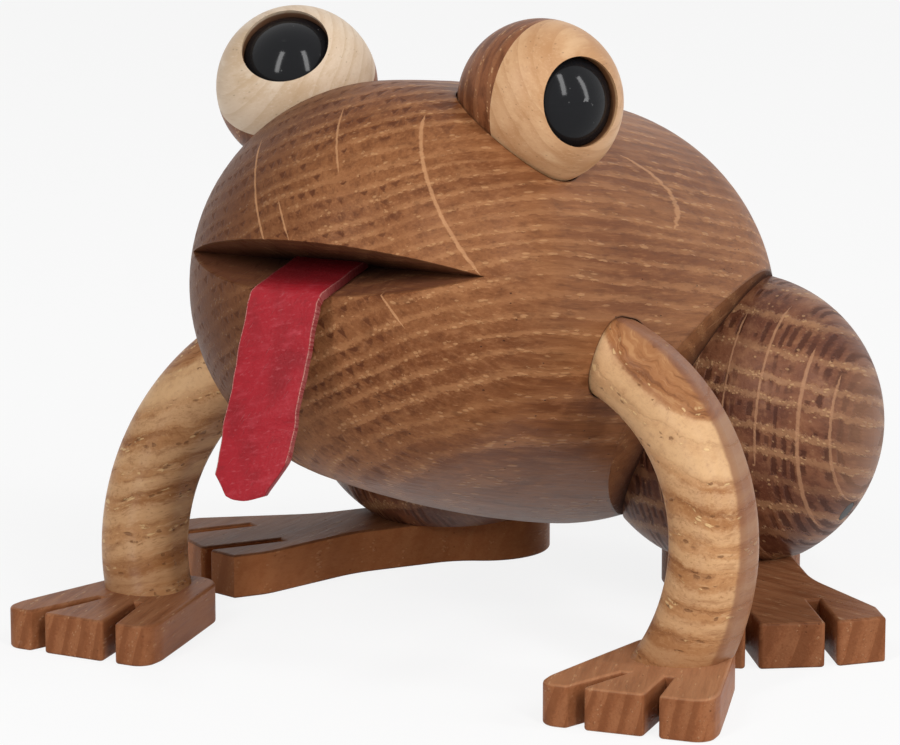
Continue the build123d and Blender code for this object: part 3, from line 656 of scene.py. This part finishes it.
def button_gloss():
    """Black moulded button with a bright gloss, a little dust and slight ripples."""
    m = Finish("gloss_black_button", 0.16)
    x, y, z = m.axes()
    ripple = m.noise(1.6)
    near, draw = m.place.cells(x / 0.7, y / 0.7, z / 0.7)
    dust = near.ramp(0.2, 0.1) * draw.ramp(0.93, 0.96)
    m.feed(Base_Color=m.colour((0.0075, 0.0078, 0.0092), (0.13, 0.13, 0.13), dust * 0.5))
    m.feed(Roughness=0.07 + ripple * 0.06 + dust * 0.4)
    m.bump(ripple, 0.02, 0.2)
    return m.material


def plug_black():
    """Black plug pressed into the thigh."""
    m = Finish("dull_black_plug", 0.4)
    grit = m.noise(0.4, 3.0)
    m.feed(Base_Color=m.colour((0.012, 0.011, 0.012), (0.045, 0.04, 0.036), grit.ramp(0.5, 0.8)))
    m.feed(Roughness=0.36 + grit * 0.25)
    m.bump(grit, 0.03, 0.5)
    return m.material


def pin_steel():
    """Bright steel with fine lines along the pin."""
    m = Finish("bright_steel_pin")
    x, y, z = m.axes()
    drawn = m.place.noise(x / 3.0, y / 0.3, z / 0.3, 3.0)
    m.feed(Base_Color=m.colour((0.50, 0.49, 0.47), (0.36, 0.35, 0.34), drawn), Roughness=0.28 + drawn * 0.2)
    m.shader.inputs["Metallic"].default_value = 1.0
    return m.material


# Tongue: a strip cut to this size, laid along the lower jaw, bent over the lip and left to hang
TONGUE_WIDTH = 10.4
TONGUE_THICKNESS = 1.2
JAW_ANGLE = 12.0
HANG_ANGLE = 17.0
TONGUE_END = Vector((0, -39.148, 60.337))
JAW_RUN = 16.4
BEND_CENTRE = Vector((0, -54.853, 55.363))
HANG_RUN = 26.0
HANG_DRIFT = 1.5
JAW_WAY = Vector((0, -cos(radians(JAW_ANGLE)), -sin(radians(JAW_ANGLE))))
JAW_FACE = Vector((0, -sin(radians(JAW_ANGLE)), cos(radians(JAW_ANGLE))))
HANG_WAY = Vector((0, -sin(radians(HANG_ANGLE)), -cos(radians(HANG_ANGLE))))
HANG_FACE = Vector((0, -cos(radians(HANG_ANGLE)), sin(radians(HANG_ANGLE))))
BEND_RADIUS = 2.2
BEND_TURN = radians(90 - HANG_ANGLE - JAW_ANGLE)
BEND_RUN = BEND_RADIUS * BEND_TURN
HANG_START = BEND_CENTRE + HANG_FACE * BEND_RADIUS

# Faces across the strip, and along its jaw part, its bend and its hanging part
TONGUE_COLUMNS = 10
JAW_ROWS = 6
BEND_ROWS = 8
HANG_ROWS = 26

# Unevenness of the hanging part, in millimetres: its bow across, its waves (height, rate along, slant across)
# and the raggedness of its long edges (depth, rate along). It fades in below the bend
TONGUE_BOW = 0.32
TONGUE_WAVES = ((0.22, 0.62, 1.4), (0.1, 1.9, 2.6))
TONGUE_RAGGED = (0.06, 5.1)
FADE_START = 1.5
FADE_RUN = 7.0

# Cuts at the tip: place across, height over the tip and how far each one leans
TIP_CUTS = ((-5.2, 3.2, -49.0), (-1.7, 0.0, -16.7), (5.0, 4.7, 61.0), (0.2, 0.0, 20.7))


def tongue_leather():
    """Red leather: creases and slanting scuffs, dark cut edges with a pale frayed border, and painted shade
    on its root inside the mouth.
    """
    m = Finish("red_leather", 0.22)
    uv = m.tree.nodes.new("ShaderNodeUVMap")
    uv.uv_map = "strip"
    on_strip = Value(m.tree, uv.outputs[0])
    across = on_strip.node("ShaderNodeSeparateXYZ", {0: on_strip}, 0) * TONGUE_WIDTH
    run = on_strip.node("ShaderNodeSeparateXYZ", {0: on_strip}, 1) * TONGUE_WIDTH
    from_edge = TONGUE_WIDTH / 2 - abs(across - TONGUE_WIDTH / 2)
    mottle = across.noise(across / 5.0, run / 7.0, 1.0, 3.0)
    pebble, _ = across.cells(across / 0.42, run / 0.5, 0.0)
    slant = run - across * 0.75
    scuff = across.noise((across + run * 0.5) / 0.28, slant / 5.0, 3.0, 3.0, 0.65).ramp(0.62, 0.76)
    crease = across.noise(across / 3.2, (run + across * 0.2) / 1.3, 9.0, 4.0, 0.6)
    frayed = across.noise(across / 0.3, run / 0.22, 5.0, 3.0, 0.7)
    cut = abs(m.facing.dot(Vector((1, 0, 0)))).ramp(0.5, 0.8)
    border = (from_edge + (frayed - 0.5) * 0.22).ramp(0.24, 0.1) * frayed.ramp(0.36, 0.56)
    border = border * (1.0 - cut * 0.8)
    wrinkle = across.noise((across - run * 0.3) / 1.1, (run + across * 0.35) / 0.5, 4.0, 3.0, 0.6)
    colour = m.colour((0.322, 0.009, 0.017), (0.228, 0.006, 0.011), mottle.ramp(0.42, 0.7))
    colour = colour.under(
        ((0.450, 0.048, 0.064), crease.ramp(0.5, 0.72) * 0.45),
        ((0.200, 0.008, 0.013), crease.ramp(0.44, 0.3) * 0.4),
        ((0.520, 0.110, 0.125), wrinkle.ramp(0.56, 0.74) * 0.35),
        ((0.620, 0.230, 0.240), scuff * 0.32),
        ((0.150, 0.010, 0.012), cut * (0.9 - frayed * 0.4)),
        ((0.620, 0.330, 0.270), border * 0.8),
        # Painted shade on the root, which lies inside the mouth
        ((0.070, 0.003, 0.004), run.ramp(18.0, 11.5) * 0.84),
    )
    m.feed(Base_Color=colour, Roughness=0.34 + mottle * 0.2 + pebble * 0.08 + border * 0.3)
    m.bump(crease * 0.9 + wrinkle * 0.35 + pebble * 0.2 + scuff * 0.35 + frayed * border * 0.6, 0.2, 0.9)
    return m.material


def strip_place(place):
    """Where a place on the strip was before it was bent: across it from its middle, and along it."""
    on_jaw = (place - TONGUE_END).dot(JAW_WAY)
    on_hang = (place - HANG_START).dot(HANG_WAY)
    if on_hang > 0:
        return place.x + HANG_DRIFT * on_hang / HANG_RUN, JAW_RUN + BEND_RUN + on_hang
    if on_jaw < JAW_RUN:
        return place.x, on_jaw
    return place.x, JAW_RUN + BEND_RUN + max(on_hang, -BEND_RUN)


def select_edges(mesh, chosen):
    """Select the edges between vertices that meet a test, in edit mode."""
    bpy.ops.object.mode_set(mode="OBJECT")
    for part in (mesh.polygons, mesh.edges, mesh.vertices):
        for item in part:
            item.select = False
    for edge in mesh.edges:
        ends = [mesh.vertices[index] for index in edge.vertices]
        edge.select = chosen(*[vertex.co * PER_METRE for vertex in ends])
        if edge.select:
            for vertex in ends:
                vertex.select = True
    bpy.ops.object.mode_set(mode="EDIT")
    bpy.ops.mesh.select_mode(type="EDGE")


def draw_out(way, steps):
    """Extrude the selected edges in equal steps."""
    for _ in range(steps):
        bpy.ops.mesh.extrude_region_move(TRANSFORM_OT_translate={"value": way * (MM / steps)})


def make_tongue():
    """The leather strip: drawn out along the jaw, spun round the lip, drawn down and cut at its tip."""
    start = TONGUE_END + JAW_FACE * (TONGUE_THICKNESS / 2)
    bpy.ops.object.select_all(action="DESELECT")
    bpy.ops.mesh.primitive_plane_add(size=TONGUE_WIDTH * MM, rotation=(radians(JAW_ANGLE), 0, 0),
                                     location=(start + JAW_WAY * (TONGUE_WIDTH / 2)) * MM)
    tongue = bpy.context.object
    tongue.name = "red_tongue"
    bpy.ops.object.transform_apply(location=True, rotation=True, scale=True)
    mesh = tongue.data
    select_edges(mesh, lambda first, second: abs(first.y - second.y) < 0.01)
    bpy.ops.mesh.subdivide(number_cuts=TONGUE_COLUMNS - 1)
    front = start.y + JAW_WAY.y * TONGUE_WIDTH
    select_edges(mesh, lambda first, second: max(abs(first.y - front), abs(second.y - front)) < 0.01)
    draw_out(JAW_WAY * (JAW_RUN - TONGUE_WIDTH), JAW_ROWS)
    bpy.ops.mesh.spin(steps=BEND_ROWS, angle=BEND_TURN, center=BEND_CENTRE * MM, axis=(-1, 0, 0))
    drop = HANG_WAY * HANG_RUN + Vector((-HANG_DRIFT, 0, 0))
    draw_out(drop, HANG_ROWS)
    tip = HANG_START + drop
    for across, rise, lean in TIP_CUTS:
        facing = HANG_WAY * cos(radians(lean)) + Vector((sin(radians(lean)), 0, 0))
        bpy.ops.mesh.select_all(action="SELECT")
        bpy.ops.mesh.bisect(plane_co=(tip - HANG_WAY * rise + Vector((across, 0, 0))) * MM, plane_no=facing,
                            clear_outer=True)
    bpy.ops.mesh.select_all(action="SELECT")
    bpy.ops.mesh.remove_doubles(threshold=0.02 * MM)
    bpy.ops.mesh.normals_make_consistent(inside=False)
    bpy.ops.object.mode_set(mode="OBJECT")
    return tongue


def shape_tongue(tongue):
    """Its own map, soft waves in the part that hangs, a slightly ragged outline, and its thickness."""
    mesh = tongue.data
    while mesh.uv_layers:
        mesh.uv_layers.remove(mesh.uv_layers[0])
    strip = mesh.uv_layers.new(name="strip")
    for loop in mesh.loops:
        across, run = strip_place(mesh.vertices[loop.vertex_index].co * PER_METRE)
        strip.data[loop.index].uv = (across / TONGUE_WIDTH + 0.5, run / TONGUE_WIDTH)
    ragged_depth, ragged_rate = TONGUE_RAGGED
    for vertex in mesh.vertices:
        across, run = strip_place(vertex.co * PER_METRE)
        hanging = min(max((run - JAW_RUN - BEND_RUN - FADE_START) / FADE_RUN, 0.0), 1.0)
        share = across * 2 / TONGUE_WIDTH
        bow = TONGUE_BOW * (1 - share * share)
        for height, rate, slant in TONGUE_WAVES:
            bow += height * sin(run * rate + share * slant)
        ragged = ragged_depth * sin(run * ragged_rate) * abs(share) ** 6
        outward = Vector((ragged if share > 0 else -ragged, 0, 0))
        vertex.co += (HANG_FACE * (bow * hanging) + outward) * MM
    modifiers = (("SOLIDIFY", {"thickness": TONGUE_THICKNESS * MM, "offset": 0.0}),
                 ("BEVEL", {"width": 0.14 * MM, "segments": 2, "limit_method": "ANGLE"}),
                 ("SUBSURF", {"levels": 1, "render_levels": 1}))
    bpy.context.view_layer.objects.active = tongue
    for kind, settings in modifiers:
        modifier = tongue.modifiers.new(kind.lower(), kind)
        for name, setting in settings.items():
            setattr(modifier, name, setting)
        bpy.ops.object.modifier_apply(modifier=modifier.name)
    bpy.ops.object.select_all(action="DESELECT")
    tongue.select_set(True)
    bpy.ops.object.shade_smooth_by_angle(angle=radians(50))
    mesh.materials.append(tongue_leather())
    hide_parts("tongue")
    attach(tongue, "frog")


# Main, dark and light tones of the fine-grained woods
EYE_TONES = {
    "left": ((0.590, 0.345, 0.180), (0.440, 0.222, 0.098), (0.680, 0.450, 0.262)),
    "right": ((0.660, 0.510, 0.370), (0.520, 0.360, 0.220), (0.730, 0.610, 0.480)),
}
BEECH = ((0.55, 0.33, 0.18), (0.42, 0.22, 0.11), (0.66, 0.44, 0.26))


def give(node, material):
    """Put one material on a carried-over node."""
    mesh = nodes[node].data
    mesh.materials.clear()
    mesh.materials.append(material)


def finish_wood():
    give("body", body_oak())
    button, plug, steel = button_gloss(), plug_black(), pin_steel()
    beech = maple("beech_dowel", UP, (0, 1, 0), (0, 0, 0), BEECH, DOWEL_RING)
    for side, sign in SIDES.items():
        give(f"{side}_thigh", thigh_oak(side))
        give(f"{side}_arm", arm_oak(side))
        give(f"{side}_front_foot", foot_oak(side, "front"))
        give(f"{side}_rear_foot", foot_oak(side, "rear"))
        front = maple(f"pale_maple_{side}_eye", heading(60 * sign + 20, 30), UP, EYES[side], EYE_TONES[side],
                      EYE_FRONT_RING, recess=EYES[side])
        give(f"{side}_eye_front", front)
        give(f"{side}_eye_back", back_oak(side))
        give(f"{side}_pupil", button)
        give(f"{side}_thigh_plug", plug)
        give(f"{side}_thigh_peg", steel)
        for dowel in ("eye_peg", "shoulder_dowel", "wrist_dowel", "ankle_dowel"):
            give(f"{side}_{dowel}", beech)


def seen_straight(tree):
    """1 where the camera or a reflection shows a place, and 0 where the place only gives light."""
    light_path = tree.nodes.new("ShaderNodeLightPath")
    camera_ray = Value(tree, light_path.outputs["Is Camera Ray"])
    glossy_ray = Value(tree, light_path.outputs["Is Glossy Ray"])
    through_ray = Value(tree, light_path.outputs["Is Transmission Ray"])
    return greater(camera_ray, greater(glossy_ray, through_ray))


def make_floor():
    """Pale floor that looks white and still shows the frog's shadow."""
    bpy.ops.object.select_all(action="DESELECT")
    bpy.ops.mesh.primitive_plane_add(size=FLOOR_SIZE, location=(0, 0, -FLOOR_DROP))
    floor = bpy.context.object
    floor.name = "floor"
    m = Finish("pale_floor", 0.1)
    cloud = m.place.noise(m.axis(0) / 40.0, m.axis(1) / 40.0, 0.0)
    m.feed(Base_Color=m.colour((0.86, 0.86, 0.86), (0.84, 0.84, 0.84), cloud))
    m.shader.inputs["Roughness"].default_value = 0.9
    white = m.tree.nodes.new("ShaderNodeEmission")
    white.inputs["Strength"].default_value = 1.0
    mixed = m.tree.nodes.new("ShaderNodeMixShader")
    seen = seen_straight(m.tree) * FLOOR_WHITE
    m.tree.links.new(seen.socket, mixed.inputs[0])
    m.tree.links.new(m.shader.outputs[0], mixed.inputs[1])
    m.tree.links.new(white.outputs[0], mixed.inputs[2])
    m.tree.links.new(mixed.outputs[0], m.tree.nodes["Material Output"].inputs["Surface"])
    floor.data.materials.append(m.material)


def make_world():
    """White surroundings that give only a part of their brightness as light."""
    world = bpy.data.worlds.new("studio")
    bpy.context.scene.world = world
    world.use_nodes = True
    tree = world.node_tree
    background = tree.nodes["Background"]
    background.inputs["Color"].default_value = (1, 1, 1, 1)
    strength = seen_straight(tree) * (1.0 - AMBIENT) + AMBIENT
    tree.links.new(strength.socket, background.inputs["Strength"])


def softbox(name, azimuth, elevation, width, height, radiance):
    """Upright softbox that faces the frog. Its angles of view, in degrees, set its size."""
    wide = 2 * SOFTBOX_DISTANCE * tan(radians(width / 2))
    high = 2 * SOFTBOX_DISTANCE * tan(radians(height / 2))
    data = bpy.data.lights.new(name, "AREA")
    data.shape = "RECTANGLE"
    data.size = wide
    data.size_y = high
    data.energy = radiance * pi * wide * high
    lamp = bpy.data.objects.new(name, data)
    bpy.context.collection.objects.link(lamp)
    towards = heading(azimuth, elevation)
    lamp.location = SOFTBOX_AIM + towards * SOFTBOX_DISTANCE
    lamp.rotation_mode = "QUATERNION"
    lamp.rotation_quaternion = towards.to_track_quat("Z", "Y")


def make_camera():
    """Camera at the photograph's viewpoint."""
    data = bpy.data.cameras.new("camera")
    data.lens = LENS
    data.sensor_width = SENSOR
    data.sensor_fit = "HORIZONTAL"
    camera = bpy.data.objects.new("camera", data)
    bpy.context.collection.objects.link(camera)
    back = heading(VIEW_AZIMUTH, VIEW_ELEVATION)
    camera.location = VIEW_TARGET + back * VIEW_DISTANCE
    camera.rotation_mode = "QUATERNION"
    camera.rotation_quaternion = back.to_track_quat("Z", "Y")
    data.clip_start = 0.01
    data.clip_end = 50.0
    bpy.context.scene.camera = camera


finish_wood()
shape_tongue(make_tongue())
make_floor()
make_world()
for numbers in SOFTBOXES:
    softbox(*numbers)
make_camera()
bpy.context.scene.view_settings.view_transform = "Standard"
